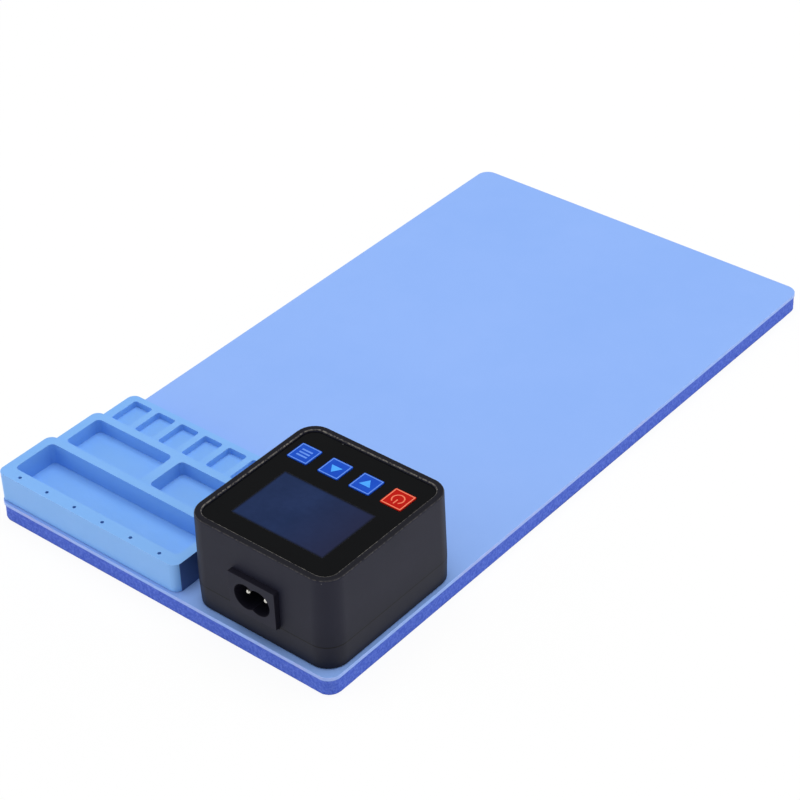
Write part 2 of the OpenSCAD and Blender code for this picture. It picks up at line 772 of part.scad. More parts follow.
module power_board() {
    color([0.5, 0.36, 0.12]) at_box() board(board1_under, board1_holes);
}

module power_board_screws() {
    color([0.75, 0.75, 0.77]) at_box() for (p = board1_holes)
        translate([p[0], p[1], board1_top]) mirror([0, 0, 1])
            pan_screw(board_screw_d, board_screw_l, board_screw_head_d, board_screw_head_h);
}

// An E-core transformer: the core stands proud of its winding on two sides
module transformer() {
    core = 3.5;
    color([0.85, 0.7, 0.2]) at_box()
        translate([transformer_at[0], transformer_at[1], board1_top]) {
            translate([0, 0, transformer_size[2] / 2])
                cube([transformer_size[0], transformer_size[1] * 0.6, transformer_size[2]], center = true);
            translate([0, 0, transformer_size[2] / 2])
                cube([transformer_size[0] - 2 * core, transformer_size[1], transformer_size[2] - core], center = true);
            translate([-transformer_size[0] / 2 + 1, -transformer_size[1] / 2, 0])
                cube([transformer_size[0] - 2, transformer_size[1], 2.5]);
        }
}

module relay() {
    color([0.12, 0.25, 0.6]) at_box()
        translate([relay_at[0] - relay_size[0] / 2, relay_at[1] - relay_size[1] / 2, board1_top])
            cube(relay_size);
}

// A can capacitor with a crimp groove under its sleeve
module capacitor() {
    r = capacitor_d / 2;
    color([0.1, 0.1, 0.12]) at_box()
        translate([capacitor_at[0], capacitor_at[1], board1_top])
            rotate_extrude()
                polygon([[0, 0], [r, 0], [r, 1.4], [r - 0.5, 1.9], [r - 0.5, 2.3], [r, 2.8],
                         [r, capacitor_h - 0.4], [r - 0.4, capacitor_h], [0, capacitor_h]]);
}

module at_fuse() {
    at_box() translate([fuse_at[0], fuse_at[1], board1_top + fuse_d / 2 + 0.8])
        rotate([0, 90, 0]) children();
}

module fuse() {
    color([0.85, 0.88, 0.9]) at_fuse() cylinder(h = fuse_l, d = fuse_d, center = true);
}

module fuse_clips() {
    clip_t = 0.5;
    clip_w = 4;
    color([0.8, 0.8, 0.76]) for (s = [-1, 1]) difference() {
        at_box() translate([fuse_at[0] + s * (fuse_l / 2 - clip_w / 2) - clip_w / 2,
                            fuse_at[1] - fuse_d / 2 - clip_t, board1_top])
            cube([clip_w, fuse_d + 2 * clip_t, fuse_d / 2 + 1.8]);
        at_fuse() cylinder(h = fuse_l + 2 * cut, d = fuse_d + 2 * screw_gap, center = true);
    }
}

module thermal_cutout() {
    color([0.9, 0.9, 0.88]) at_box()
        translate([cutout_at[0], cutout_at[1], board1_top + cutout_d / 2])
            rotate([0, 90, 0]) cylinder(h = cutout_l, d = cutout_d, center = true);
}

module ribbon_cable() {
    plug_h = 5;
    color([0.7, 0.7, 0.72]) at_box() translate([ribbon_at[0], ribbon_at[1], board1_top]) {
        translate([-ribbon_t / 2, -ribbon_w / 2, 0])
            cube([ribbon_t, ribbon_w, board2_under - board1_top]);
        for (z = [0, board2_under - board1_top - plug_h])
            translate([-1.6, -ribbon_w / 2 - 0.8, z]) cube([3.2, ribbon_w + 1.6, plug_h]);
    }
}

foam_base();
lower_sheet();
heating_foil();
top_sheet();
temperature_sensor();
heater_leads();
tray_adhesive();
parts_tray();
box_adhesive();
lower_shell();
upper_shell();
shell_screws();
front_panel();
display_window();
lcd_cell();
lcd_frame();
display_board();
display_board_screws();
tact_switches();
mode_key();
down_key();
up_key();
power_key();
mode_plunger();
down_plunger();
up_plunger();
power_plunger();
inlet_housing();
inlet_pins();
inlet_wires();
power_board();
power_board_screws();
transformer();
relay();
capacitor();
fuse();
fuse_clips();
thermal_cutout();
ribbon_cable();
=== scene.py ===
import math

import bmesh
import bpy
from mathutils import Matrix, Vector, noise


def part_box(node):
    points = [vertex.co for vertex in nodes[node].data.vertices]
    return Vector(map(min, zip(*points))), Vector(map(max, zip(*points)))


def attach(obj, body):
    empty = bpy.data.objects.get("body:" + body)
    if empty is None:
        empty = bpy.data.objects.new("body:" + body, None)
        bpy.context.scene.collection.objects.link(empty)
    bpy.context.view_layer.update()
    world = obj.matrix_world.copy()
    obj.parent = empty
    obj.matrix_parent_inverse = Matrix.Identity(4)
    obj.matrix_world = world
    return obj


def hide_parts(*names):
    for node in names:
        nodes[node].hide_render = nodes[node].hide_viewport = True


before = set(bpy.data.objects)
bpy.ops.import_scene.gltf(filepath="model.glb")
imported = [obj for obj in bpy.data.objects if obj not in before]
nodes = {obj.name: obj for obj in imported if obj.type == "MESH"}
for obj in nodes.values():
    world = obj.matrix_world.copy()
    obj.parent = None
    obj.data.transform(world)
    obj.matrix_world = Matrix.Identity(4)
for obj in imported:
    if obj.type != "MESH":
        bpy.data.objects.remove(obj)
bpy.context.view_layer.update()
mm = 0.001

camera = {
    "place": (-0.50939, 0.60462, 0.58257),
    "azimuth": 220.695,
    "elevation": 36.228,
    "roll": -2.217,
    "lens": 107.23,
    "sensor": 36.0,
}
studio = {
    "floorSize": 30.0,
    "floorDrop": 0.0001,
    "floorColour": (0.96, 0.96, 0.96, 1),
    "floorGlow": 0.92,        # share of plain white in what the camera sees of the floor
    "lampHeight": 1.5,
    "lampSize": 1.2,
    "lampPower": 11.5,
    "lampPlace": (0.0, -0.1),
    # brightness of the sky from the horizon to straight overhead
    "sky": [(0.0, 1.15), (0.2, 1.15), (0.4, 0.5), (0.55, 0.3), (0.75, 0.3), (0.92, 1.4), (1.0, 2.2)],
    "sideAxis": (0.77, 0.64, 0.0),
    "sideLight": (0.55, 1.7), # the sky's share all round, and what is added towards both sides
}


def colour(red, green, blue):
    # levels from 0 to 255 as seen on a screen, made linear
    shares = [level / 255 for level in (red, green, blue)]
    return tuple(s / 12.92 if s <= 0.04045 else ((s + 0.055) / 1.055) ** 2.4 for s in shares) + (1.0,)


def linkMesh(bm, name):
    mesh = bpy.data.meshes.new(name)
    bm.to_mesh(mesh)
    bm.free()
    piece = bpy.data.objects.new(name, mesh)
    bpy.context.scene.collection.objects.link(piece)
    return piece


def bevelEdges(bm, edges, width, segments):
    return bmesh.ops.bevel(bm, geom=edges, offset=width, offset_type="OFFSET", segments=segments,
                           profile=0.5, affect="EDGES", clamp_overlap=True, material=-1)["faces"]


def smoothPiece(piece, angle):
    # soft shading, kept crisp where two faces meet at more than the angle
    for face in piece.data.polygons:
        face.use_smooth = True
    piece.data.set_sharp_from_angle(angle=math.radians(angle))
    evened = piece.modifiers.new("evened", "WEIGHTED_NORMAL")
    evened.keep_sharp = True
    return piece


def finishPiece(piece, body, material, slotName, *replaced):
    piece.data.materials.clear()
    piece.data.materials.append(material)
    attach(piece, body)
    if replaced:
        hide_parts(*replaced)
    return piece


def newGroup(name, inputs, outputs):
    group = bpy.data.node_groups.new(name, "ShaderNodeTree")
    kinds = {"value": "NodeSocketFloat", "colour": "NodeSocketColor", "vector": "NodeSocketVector"}
    for label, kind, start in inputs:
        socket = group.interface.new_socket(name=label, in_out="INPUT", socket_type=kinds[kind])
        if start is not None:
            socket.default_value = start
    for label, kind in outputs:
        group.interface.new_socket(name=label, in_out="OUTPUT", socket_type=kinds[kind])
    return group, group.nodes.new("NodeGroupInput").outputs, group.nodes.new("NodeGroupOutput").inputs


def addNode(tree, kind, settings=(), **values):
    node = tree.nodes.new(kind)
    for key, value in dict(settings).items():
        setattr(node, key, value)
    for label, value in values.items():
        socket = node.inputs[label.replace("_", " ")]
        if isinstance(value, bpy.types.NodeSocket):
            tree.links.new(value, socket)
        else:
            socket.default_value = value
    return node


def noiseAt(tree, where, scale, detail=2.0, roughness=0.5):
    return addNode(tree, "ShaderNodeTexNoise", Vector=where, Scale=scale, Detail=detail,
                   Roughness=roughness).outputs["Fac"]


def spread(tree, value, low, high, toLow=0.0, toHigh=1.0):
    node = addNode(tree, "ShaderNodeMapRange", Value=value)
    for label, amount in (("From Min", low), ("From Max", high), ("To Min", toLow), ("To Max", toHigh)):
        if isinstance(amount, bpy.types.NodeSocket):
            tree.links.new(amount, node.inputs[label])
        else:
            node.inputs[label].default_value = amount
    return node.outputs["Result"]


def reckon(tree, operation, first, second):
    node = tree.nodes.new("ShaderNodeMath")
    node.operation = operation
    for socket, value in zip(node.inputs, (first, second)):
        if isinstance(value, bpy.types.NodeSocket):
            tree.links.new(value, socket)
        else:
            socket.default_value = value
    return node.outputs[0]


def blendColours(tree, share, first, second):
    node = tree.nodes.new("ShaderNodeMix")
    node.data_type = "RGBA"
    for socket, value in ((node.inputs[0], share), (node.inputs[6], first), (node.inputs[7], second)):
        if isinstance(value, bpy.types.NodeSocket):
            tree.links.new(value, socket)
        else:
            socket.default_value = value
    return node.outputs[2]


def makeMottleGroup():
    # slow changes of shade over a surface, from uneven pigment and handling
    group, given, made = newGroup("mottle", [
        ("Where", "vector", None), ("Colour", "colour", None), ("Tint", "colour", None),
        ("Scale", "value", 20.0), ("Amount", "value", 0.3)], [("Colour", "colour")])
    large = noiseAt(group, given["Where"], given["Scale"], 3.0)
    small = noiseAt(group, given["Where"], reckon(group, "MULTIPLY", given["Scale"], 7.0), 2.0)
    both = reckon(group, "ADD", reckon(group, "MULTIPLY", large, 0.7), reckon(group, "MULTIPLY", small, 0.3))
    share = reckon(group, "MULTIPLY", spread(group, both, 0.36, 0.64), given["Amount"])
    group.links.new(blendColours(group, share, given["Colour"], given["Tint"]), made["Colour"])
    return group


def makeGrainGroup():
    # the fine grain that a mould leaves, and where it is rubbed smoother
    group, given, made = newGroup("grain", [
        ("Where", "vector", None), ("Scale", "value", 3000.0), ("Roughness", "value", 0.5),
        ("Spread", "value", 0.1)], [("Height", "value"), ("Roughness", "value")])
    group.links.new(noiseAt(group, given["Where"], given["Scale"], 2.0, 0.6), made["Height"])
    rubbed = noiseAt(group, given["Where"], reckon(group, "MULTIPLY", given["Scale"], 0.012), 4.0)
    change = reckon(group, "MULTIPLY", reckon(group, "SUBTRACT", rubbed, 0.5), given["Spread"])
    group.links.new(reckon(group, "ADD", given["Roughness"], change), made["Roughness"])
    return group


def makePaintedEdgeLightGroup():
    # an edge colour where the piece's own edge mark says, broken up by noise: painted highlight on the edges of
    # the sheets, tray, box rim, panel and keys, and painted shade on the inlet
    group, given, made = newGroup("edge", [
        ("Where", "vector", None), ("Colour", "colour", None), ("Edge colour", "colour", None),
        ("Edge", "value", 0.0), ("Amount", "value", 0.5), ("Least", "value", 0.5),
        ("Scale", "value", 300.0)], [("Colour", "colour")])
    breaks = noiseAt(group, given["Where"], given["Scale"], 3.0)
    broken = reckon(group, "MAXIMUM", spread(group, breaks, 0.35, 0.65, given["Least"], 1.0), 0.0)
    mask = reckon(group, "MULTIPLY", reckon(group, "MULTIPLY", given["Edge"], given["Amount"]), broken)
    group.links.new(blendColours(group, mask, given["Colour"], given["Edge colour"]), made["Colour"])
    return group


def makeCellGroup():
    # the open cells on the cut side of a foam
    group, given, made = newGroup("cells", [
        ("Where", "vector", None), ("Colour", "colour", None), ("Dark", "colour", None),
        ("Light", "colour", None), ("Cell scale", "value", 1600.0), ("Patch scale", "value", 900.0)],
        [("Colour", "colour"), ("Height", "value")])
    cell = addNode(group, "ShaderNodeTexVoronoi", {"feature": "F1"},
                   Vector=given["Where"], Scale=given["Cell scale"]).outputs["Distance"]
    patch = noiseAt(group, given["Where"], given["Patch scale"], 4.0, 0.6)
    shaded = blendColours(group, spread(group, cell, 0.1, 0.65, 0.0, 0.45), given["Colour"], given["Dark"])
    shaded = blendColours(group, spread(group, patch, 0.45, 0.7, 0.0, 0.55), shaded, given["Light"])
    shaded = blendColours(group, spread(group, patch, 0.48, 0.3, 0.0, 0.6), shaded, given["Dark"])
    group.links.new(shaded, made["Colour"])
    deep = reckon(group, "ADD", reckon(group, "MULTIPLY", cell, -0.6), patch)
    group.links.new(deep, made["Height"])
    return group


def makeDustGroup():
    # single specks of dust, thinly spread
    group, given, made = newGroup("dust", [
        ("Where", "vector", None), ("Scale", "value", 260.0), ("Size", "value", 0.06),
        ("Share", "value", 0.12)], [("Mask", "value")])
    speck = addNode(group, "ShaderNodeTexVoronoi", {"feature": "F1"},
                    Vector=given["Where"], Scale=given["Scale"])
    near = reckon(group, "LESS_THAN", speck.outputs["Distance"], given["Size"])
    shade = addNode(group, "ShaderNodeSeparateColor", Color=speck.outputs["Color"]).outputs[0]
    kept = reckon(group, "LESS_THAN", shade, given["Share"])
    group.links.new(reckon(group, "MULTIPLY", near, kept), made["Mask"])
    return group


mottleGroup = makeMottleGroup()
grainGroup = makeGrainGroup()
paintedEdgeLightGroup = makePaintedEdgeLightGroup()
cellGroup = makeCellGroup()
dustGroup = makeDustGroup()
print("shared effects made")


def newMaterial(name, **plain):
    material = bpy.data.materials.new(name)
    material.use_nodes = True
    tree = material.node_tree
    shader = tree.nodes["Principled BSDF"]
    for label, value in plain.items():
        shader.inputs[label.replace("_", " ")].default_value = value
    where = tree.nodes.new("ShaderNodeTexCoord").outputs["Object"]
    return material, tree, shader, where


def placeGroup(tree, group, **values):
    node = tree.nodes.new("ShaderNodeGroup")
    node.node_tree = group
    for label, value in values.items():
        socket = node.inputs[label.replace("_", " ")]
        if isinstance(value, bpy.types.NodeSocket):
            tree.links.new(value, socket)
        else:
            socket.default_value = value
    return node.outputs


def markOf(tree, name):
    # a share that the piece's own faces carry
    return addNode(tree, "ShaderNodeAttribute", {"attribute_name": name}).outputs["Fac"]


def heightOf(tree, where):
    return addNode(tree, "ShaderNodeSeparateXYZ", Vector=where).outputs["Z"]


def paintShadeTowards(tree, where, shade, start, end, share, dark):
    # painted shade: goes over to a darker colour from one height to another
    return blendColours(tree, spread(tree, heightOf(tree, where), start, end, 0.0, share), shade, dark)


def addBump(tree, shader, height, depth):
    bump = addNode(tree, "ShaderNodeBump", Height=height, Distance=depth, Strength=1.0)
    tree.links.new(bump.outputs["Normal"], shader.inputs["Normal"])


usualLook = {
    "mottleScale": 25.0,
    "mottle": 0.5,
    "grainScale": 3500.0,
    "grainDepth": 0.02 * mm,
    "roughnessSpread": 0.12,
    "paintedEdgeAmount": 0.6,
    "paintedEdgeLeast": 0.5,         # what is left of the painted edge colour in its breaks
    "paintedEdgeBreaks": 300.0,
    "dustScale": 240.0,
    "dustShare": 0.08,
    "dustAmount": 0.5,
    "shader": {},
}


def mouldedMaterial(name, own):
    # a moulded or pressed surface: mottled colour and fine grain, with painted highlight and painted shade
    # where its look asks for them
    look = {**usualLook, **own}
    material, tree, shader, where = newMaterial(name, **look["shader"])
    shade = placeGroup(tree, mottleGroup, Where=where, Colour=look["colour"], Tint=look["tint"],
                       Scale=look["mottleScale"], Amount=look["mottle"])["Colour"]
    grain = placeGroup(tree, grainGroup, Where=where, Scale=look["grainScale"],
                       Roughness=look["roughness"], Spread=look["roughnessSpread"])
    if "cap" in look:
        # painted shade: the flat top, darker than the sides, as it mirrors less light
        shade = paintShadeTowards(tree, where, shade, *look["cap"])
    # painted light along the marked edges: painted highlight on most pieces, painted shade on the inlet
    if "paintedEdgeColour" in look:
        rim = look["paintedEdgeColour"]
        if "paintedEdgeTint" in look:
            rim = placeGroup(tree, mottleGroup, Where=where, Colour=rim, Tint=look["paintedEdgeTint"],
                             Scale=look["paintedEdgeTintScale"], Amount=1.0)["Colour"]
        shade = placeGroup(tree, paintedEdgeLightGroup, Where=where, Colour=shade, Edge_colour=rim,
                           Edge=markOf(tree, "edge"), Amount=look["paintedEdgeAmount"],
                           Least=look["paintedEdgeLeast"], Scale=look["paintedEdgeBreaks"])["Colour"]
    if "shadeColour" in look:
        shade = blendColours(tree, markOf(tree, "shade"), shade, look["shadeColour"])
    if "foot" in look:
        # less light reaches the piece's lower part
        shade = paintShadeTowards(tree, where, shade, *look["foot"])
    if "seam" in look:
        # the dark line where two shells meet
        level, halfWidth, fullWidth, dark = look["seam"]
        offLine = reckon(tree, "ABSOLUTE", reckon(tree, "SUBTRACT", heightOf(tree, where), level), 0.0)
        shade = blendColours(tree, spread(tree, offLine, halfWidth, fullWidth, 0.0, 1.0), shade, dark)
    if "dustColour" in look:
        specks = placeGroup(tree, dustGroup, Where=where, Scale=look["dustScale"],
                            Share=look["dustShare"])["Mask"]
        specks = reckon(tree, "MULTIPLY", specks, look["dustAmount"])
        shade = blendColours(tree, specks, shade, look["dustColour"])
    tree.links.new(shade, shader.inputs["Base Color"])
    tree.links.new(grain["Roughness"], shader.inputs["Roughness"])
    addBump(tree, shader, grain["Height"], look["grainDepth"])
    return material


# foot and cap, painted shade towards the foot and on the flat top: the height where the darker colour starts,
# where it is full, its share and the colour
# seam: its height, the distance where it starts, where it is full, and its colour
looks = {
    "silicone_sheet": {
        "colour": colour(136, 174, 241), "tint": colour(142, 178, 243), "mottleScale": 14.0, "mottle": 0.6,
        "roughness": 0.62, "grainScale": 2600.0, "grainDepth": 0.03 * mm,
        # painted highlight on the sheets' sides, in a mottled lilac tint
        "paintedEdgeColour": colour(148, 188, 250), "paintedEdgeTint": colour(168, 180, 236), "paintedEdgeTintScale": 22.0,
        "paintedEdgeAmount": 1.0, "shader": {"Specular_IOR_Level": 0.35},
    },
    "silicone_tray": {
        "colour": colour(116, 174, 240), "tint": colour(123, 178, 242), "mottleScale": 30.0, "mottle": 0.6,
        "roughness": 0.5, "grainScale": 3200.0, "grainDepth": 0.02 * mm,
        # painted highlight on the rounded edges, and painted shade on the side beside the control box
        "paintedEdgeColour": colour(178, 220, 254), "paintedEdgeAmount": 0.9, "shadeColour": colour(30, 56, 122),
        "shader": {"Specular_IOR_Level": 0.8},
    },
    "box_plastic": {
        "colour": colour(31, 32, 46), "tint": colour(36, 36, 51), "mottleScale": 40.0, "mottle": 0.5,
        "roughness": 0.5, "grainScale": 4200.0, "grainDepth": 0.012 * mm,
        # painted shade towards the foot and on the flat top
        "foot": (30 * mm, 8.5 * mm, 0.8, colour(17, 19, 32)),
        "cap": (48.7 * mm, 49.0 * mm, 0.85, colour(15, 15, 22)),
        "seam": (18.9 * mm, 0.36 * mm, 0.108 * mm, colour(6, 6, 10)),
        # painted highlight along the rim's edges
        "paintedEdgeColour": colour(122, 118, 112), "paintedEdgeAmount": 0.95, "paintedEdgeLeast": -0.05, "paintedEdgeBreaks": 1150.0,
        "dustColour": colour(120, 120, 126), "dustShare": 0.05, "dustScale": 300.0,
        "shader": {"Specular_IOR_Level": 0.15},
    },
    "inlet_plastic": {
        "colour": colour(31, 32, 46), "tint": colour(36, 36, 51), "mottleScale": 60.0, "mottle": 0.5,
        "roughness": 0.5, "grainScale": 4200.0, "grainDepth": 0.012 * mm,
        # painted shade on every face of the inlet but its front
        "paintedEdgeColour": colour(24, 23, 34), "paintedEdgeAmount": 1.0, "paintedEdgeLeast": 0.9,
        "shader": {"Specular_IOR_Level": 0.12},
    },
    "panel_plastic": {
        "colour": colour(7, 8, 10), "tint": colour(10, 11, 13), "mottleScale": 60.0, "mottle": 0.5,
        "roughness": 0.1, "roughnessSpread": 0.08, "grainScale": 900.0, "grainDepth": 0.0015 * mm,
        # painted highlight along the panel's edges
        "paintedEdgeColour": colour(70, 70, 74), "paintedEdgeAmount": 0.7, "dustColour": colour(120, 122, 128),
        "dustShare": 0.06, "dustScale": 260.0, "shader": {"Specular_IOR_Level": 0.3},
    },
    "blue_key": {
        "colour": colour(20, 71, 184), "tint": colour(26, 82, 196), "mottleScale": 160.0, "mottle": 0.7,
        # painted highlight on the key's edges
        "roughness": 0.4, "grainScale": 2500.0, "paintedEdgeColour": colour(40, 96, 215), "paintedEdgeAmount": 0.5,
        "shader": {"Specular_IOR_Level": 0.12},
    },
    "red_key": {
        "colour": colour(176, 14, 5), "tint": colour(190, 22, 8), "mottleScale": 160.0, "mottle": 0.7,
        # painted highlight on the key's edges
        "roughness": 0.4, "grainScale": 2500.0, "paintedEdgeColour": colour(220, 70, 45), "paintedEdgeAmount": 0.5,
        "shader": {"Specular_IOR_Level": 0.12},
    },
    "blue_print": {
        "colour": colour(96, 146, 236), "tint": colour(88, 136, 230), "mottleScale": 300.0, "mottle": 0.8,
        "roughness": 0.4, "grainScale": 2500.0,
    },
    "blue_icon": {
        "colour": colour(70, 168, 252), "tint": colour(60, 152, 244), "mottleScale": 300.0, "mottle": 0.8,
        "roughness": 0.4, "grainScale": 2500.0,
    },
    "red_print": {
        "colour": colour(242, 132, 98), "tint": colour(236, 116, 84), "mottleScale": 300.0, "mottle": 0.8,
        "roughness": 0.4, "grainScale": 2500.0,
    },
    "black_plastic": {
        "colour": colour(22, 22, 24), "tint": colour(30, 30, 32), "roughness": 0.5,
    },
    "white_plastic": {
        "colour": colour(222, 222, 216), "tint": colour(232, 232, 228), "roughness": 0.45,
    },
    "adhesive": {
        "colour": colour(214, 214, 204), "tint": colour(226, 226, 218), "roughness": 0.3, "grainScale": 800.0,
    },
    "lcd_glass": {
        "colour": colour(30, 42, 78), "tint": colour(40, 54, 92), "mottleScale": 50.0, "roughness": 0.12,
        "grainScale": 900.0, "grainDepth": 0.002 * mm,
    },
    "red_insulation": {
        "colour": colour(180, 22, 16), "tint": colour(196, 34, 24), "roughness": 0.4,
    },
    "brown_insulation": {
        "colour": colour(84, 46, 26), "tint": colour(98, 56, 34), "roughness": 0.4,
    },
    "ribbon": {
        "colour": colour(150, 152, 156), "tint": colour(172, 174, 178), "mottleScale": 400.0, "mottle": 0.9,
        "roughness": 0.45,
    },
    "transformer": {
        "colour": colour(66, 66, 70), "tint": colour(120, 108, 48), "mottleScale": 120.0, "roughness": 0.5,
    },
    "relay_blue": {
        "colour": colour(28, 78, 164), "tint": colour(36, 92, 180), "roughness": 0.35,
    },
    "circuit_board": {
        "colour": colour(14, 84, 44), "tint": colour(26, 112, 60), "mottleScale": 260.0, "mottle": 0.9,
        "roughness": 0.3, "grainScale": 700.0,
    },
    "power_circuit_board": {
        "colour": colour(150, 116, 62), "tint": colour(170, 134, 78), "mottleScale": 200.0, "mottle": 0.9,
        "roughness": 0.5, "grainScale": 900.0,
    },
    "fuse_glass": {
        "colour": colour(196, 204, 200), "tint": colour(214, 220, 216), "roughness": 0.08,
    },
    "steel": {
        "colour": colour(176, 176, 180), "tint": colour(150, 150, 156), "mottleScale": 200.0, "roughness": 0.32,
        "shader": {"Metallic": 1.0},
    },
    "nickel": {
        "colour": colour(206, 204, 198), "tint": colour(186, 182, 174), "mottleScale": 300.0, "roughness": 0.2,
        "shader": {"Metallic": 1.0},
    },
    "foil": {
        "colour": colour(186, 122, 78), "tint": colour(206, 146, 100), "mottleScale": 90.0, "roughness": 0.3,
        "shader": {"Metallic": 1.0},
    },
}
materials = {name: mouldedMaterial(name, look) for name, look in looks.items()}

foamLook = {
    "colour": colour(84, 111, 210),
    "dark": colour(62, 88, 190),
    "light": colour(114, 140, 230),
    "roughness": 0.9,
    "specular": 0.2,
    "cellDepth": 0.12 * mm,
}


def makeFoamMaterial():
    material, tree, shader, where = newMaterial("foam", Roughness=foamLook["roughness"],
                                                Specular_IOR_Level=foamLook["specular"])
    made = placeGroup(tree, cellGroup, Where=where, Colour=foamLook["colour"], Dark=foamLook["dark"],
                      Light=foamLook["light"])
    tree.links.new(made["Colour"], shader.inputs["Base Color"])
    addBump(tree, shader, made["Height"], foamLook["cellDepth"])
    return material


windowLook = {
    "middle": (-49.8 * mm, 125.5 * mm),
    "half": (21.75 * mm, 14.7 * mm),
    "glass": colour(26, 42, 78),
    "blotch": colour(33, 49, 88),
    "blotchScale": 70.0,
    "blotchAmount": 0.8,
    "side": colour(34, 36, 62),
    "sideStart": 0.1,         # where the side's colour starts, as a share of half the width
    "sideShare": 0.8,
    "rim": colour(10, 12, 18),
    "fade": 1.1 * mm,         # width of the soft border
    "roughness": 0.1,
    "roughnessSpread": 0.06,
    "grainScale": 900.0,
    "specular": 0.3,
}


def makeWindowMaterial():
    # the dark blue display seen through tinted glass, fading to black at its border
    middle = Vector((*windowLook["middle"], 0))
    half = Vector(windowLook["half"])
    material, tree, shader, where = newMaterial("window", Specular_IOR_Level=windowLook["specular"])
    centred = addNode(tree, "ShaderNodeMapping", {"vector_type": "POINT"}, Vector=where,
                      Location=tuple(-middle))
    place = addNode(tree, "ShaderNodeSeparateXYZ", Vector=centred.outputs[0]).outputs
    shade = placeGroup(tree, mottleGroup, Where=where, Colour=windowLook["glass"], Tint=windowLook["blotch"],
                       Scale=windowLook["blotchScale"], Amount=windowLook["blotchAmount"])["Colour"]
    toSide = spread(tree, place[0], windowLook["sideStart"] * half.x, -half.x, 0.0, windowLook["sideShare"])
    shade = blendColours(tree, toSide, shade, windowLook["side"])
    fromSide = reckon(tree, "SUBTRACT", half.x, reckon(tree, "ABSOLUTE", place[0], 0.0))
    fromEnd = reckon(tree, "SUBTRACT", half.y, reckon(tree, "ABSOLUTE", place[1], 0.0))
    nearest = reckon(tree, "MINIMUM", fromSide, fromEnd)
    shade = blendColours(tree, spread(tree, nearest, 0.0, windowLook["fade"]), windowLook["rim"], shade)
    tree.links.new(shade, shader.inputs["Base Color"])
    grain = placeGroup(tree, grainGroup, Where=where, Scale=windowLook["grainScale"],
                       Roughness=windowLook["roughness"], Spread=windowLook["roughnessSpread"])
    tree.links.new(grain["Roughness"], shader.inputs["Roughness"])
    return material


materials["foam"] = makeFoamMaterial()
materials["window"] = makeWindowMaterial()
print("materials made:", len(materials))


def makeCamera():
    data = bpy.data.cameras.new("view")
    data.lens = camera["lens"]
    data.sensor_width = camera["sensor"]
    data.sensor_fit = "HORIZONTAL"
    data.clip_start = 0.01
    holder = bpy.data.objects.new("view", data)
    turn = (Matrix.Rotation(math.radians(camera["azimuth"]), 4, "Z")
            @ Matrix.Rotation(math.radians(90 - camera["elevation"]), 4, "X")
            @ Matrix.Rotation(math.radians(camera["roll"]), 4, "Z"))
    holder.matrix_world = Matrix.Translation(camera["place"]) @ turn
    bpy.context.scene.collection.objects.link(holder)
    bpy.context.scene.camera = holder


def makeFloor():
    bm = bmesh.new()
    bmesh.ops.create_grid(bm, x_segments=1, y_segments=1, size=studio["floorSize"] / 2)
    bmesh.ops.translate(bm, verts=bm.verts, vec=(0, 0, -studio["floorDrop"]))
    floor = linkMesh(bm, "floor")
    material, tree, shader, where = newMaterial("floorWhite", Roughness=0.9, Specular_IOR_Level=0.0)
    shader.inputs["Base Color"].default_value = studio["floorColour"]
    glow = addNode(tree, "ShaderNodeEmission", Color=(1, 1, 1, 1), Strength=1.0)
    rays = tree.nodes.new("ShaderNodeLightPath").outputs
    seen = reckon(tree, "MAXIMUM", rays["Is Camera Ray"],
                  reckon(tree, "MAXIMUM", rays["Is Glossy Ray"], rays["Is Transmission Ray"]))
    share = reckon(tree, "MULTIPLY", seen, studio["floorGlow"])
    mixed = addNode(tree, "ShaderNodeMixShader")
    tree.links.new(share, mixed.inputs[0])
    tree.links.new(shader.outputs[0], mixed.inputs[1])
    tree.links.new(glow.outputs[0], mixed.inputs[2])
    tree.links.new(mixed.outputs[0], tree.nodes["Material Output"].inputs["Surface"])
    floor.data.materials.append(material)


def makeWorld():
    # bright near the horizon and to both sides, dark half-way up, softly bright overhead
    world = bpy.data.worlds.new("studio")
    bpy.context.scene.world = world
    world.use_nodes = True
    tree = world.node_tree
    direction = tree.nodes.new("ShaderNodeTexCoord").outputs["Generated"]
    up = addNode(tree, "ShaderNodeSeparateXYZ", Vector=direction).outputs["Z"]
    ramp = addNode(tree, "ShaderNodeValToRGB", Fac=up)
    elements = ramp.color_ramp.elements
    while len(elements) < len(studio["sky"]):
        elements.new(0.5)
    for element, (position, level) in zip(elements, studio["sky"]):
        element.position = position
        element.color = (level, level, level, 1)
    side = addNode(tree, "ShaderNodeVectorMath", {"operation": "DOT_PRODUCT"})
    tree.links.new(direction, side.inputs[0])
    side.inputs[1].default_value = studio["sideAxis"]
    squared = reckon(tree, "MULTIPLY", side.outputs["Value"], side.outputs["Value"])
    around, toSides = studio["sideLight"]
    towards = reckon(tree, "MULTIPLY", reckon(tree, "MULTIPLY", squared, squared), toSides)
    level = addNode(tree, "ShaderNodeSeparateColor", Color=ramp.outputs["Color"]).outputs[0]
    background = tree.nodes["Background"]
    background.inputs["Color"].default_value = (1, 1, 1, 1)
    tree.links.new(reckon(tree, "ADD", towards, reckon(tree, "MULTIPLY", level, around)),
                   background.inputs["Strength"])


def makeLamp():
    data = bpy.data.lights.new("softbox", "AREA")
    data.shape = "DISK"
    data.size = studio["lampSize"]
    data.energy = studio["lampPower"]
    lamp = bpy.data.objects.new("softbox", data)
    lamp.location = (*studio["lampPlace"], studio["lampHeight"])
    bpy.context.scene.collection.objects.link(lamp)


makeCamera()
makeFloor()
makeWorld()
makeLamp()
bpy.context.scene.view_settings.view_transform = "Standard"
print("camera, floor and light made")


